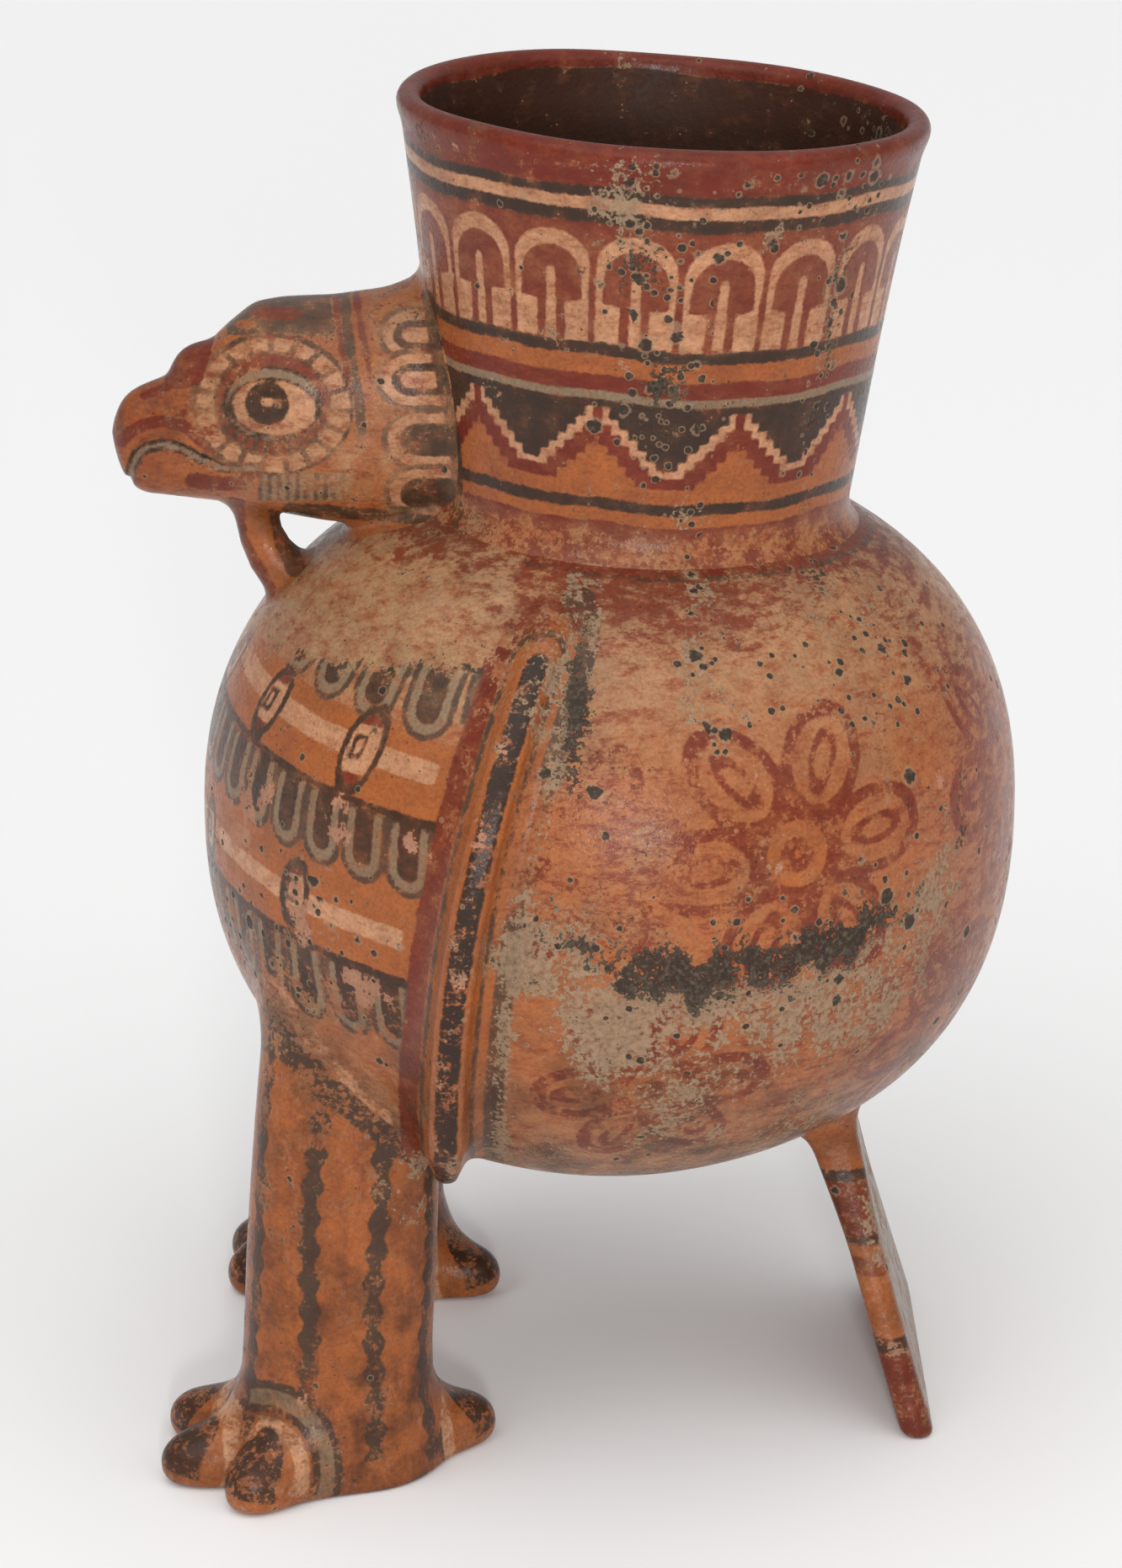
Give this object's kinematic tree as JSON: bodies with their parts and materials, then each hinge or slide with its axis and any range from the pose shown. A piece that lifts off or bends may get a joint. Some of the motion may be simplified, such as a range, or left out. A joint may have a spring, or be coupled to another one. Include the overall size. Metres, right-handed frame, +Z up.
{
  "type": "eagle effigy pot",
  "caption": "Painted ceramic jar in the shape of an eagle: globe body with flaring neck, projecting hooked-beak head, wing flanges, taloned legs and a fan tail to stand on.",
  "frame": {"origin": "on the floor under the middle of the overall length and width", "axes": "+Z up, the bird faces -X, its left side is -Y"},
  "size_m": [0.2653, 0.2544, 0.4021],
  "materials": {
    "burnished_orange_slip": "burnished orange slip with painted flowers and worn tan patches",
    "red_banded_slip": "red, cream and brown-black painted bands, burnished",
    "orange_tan_slip": "orange-tan slip with painted feathers and eyes",
    "orange_beak_slip": "orange slip with red arcs",
    "dark_red_slip": "dark red slip",
    "brown_black_edge_slip": "brown-black slip, flaked to orange",
    "striped_orange_slip": "orange slip with brown-black wavy stripes",
    "dark_claw_slip": "orange and cream bands with dark claws",
    "red_edged_slip": "orange and red banded slip"
  },
  "bodies": {
    "root": {"body_globe": "burnished_orange_slip", "neck_collar": "red_banded_slip", "head": "orange_tan_slip", "upper_beak": "orange_beak_slip", "lower_beak": "orange_beak_slip", "cere_knob": "dark_red_slip", "chin_strap": "dark_red_slip", "wing_left": "brown_black_edge_slip", "wing_right": "brown_black_edge_slip", "leg_left": "striped_orange_slip", "leg_right": "striped_orange_slip", "tail_slab": "red_edged_slip", "inner_toe_left": "dark_claw_slip", "middle_toe_left": "dark_claw_slip", "outer_toe_left": "dark_claw_slip", "rear_spur_left": "dark_claw_slip", "inner_toe_right": "dark_claw_slip", "middle_toe_right": "dark_claw_slip", "outer_toe_right": "dark_claw_slip", "rear_spur_right": "dark_claw_slip"}
  },
  "joints": []
}
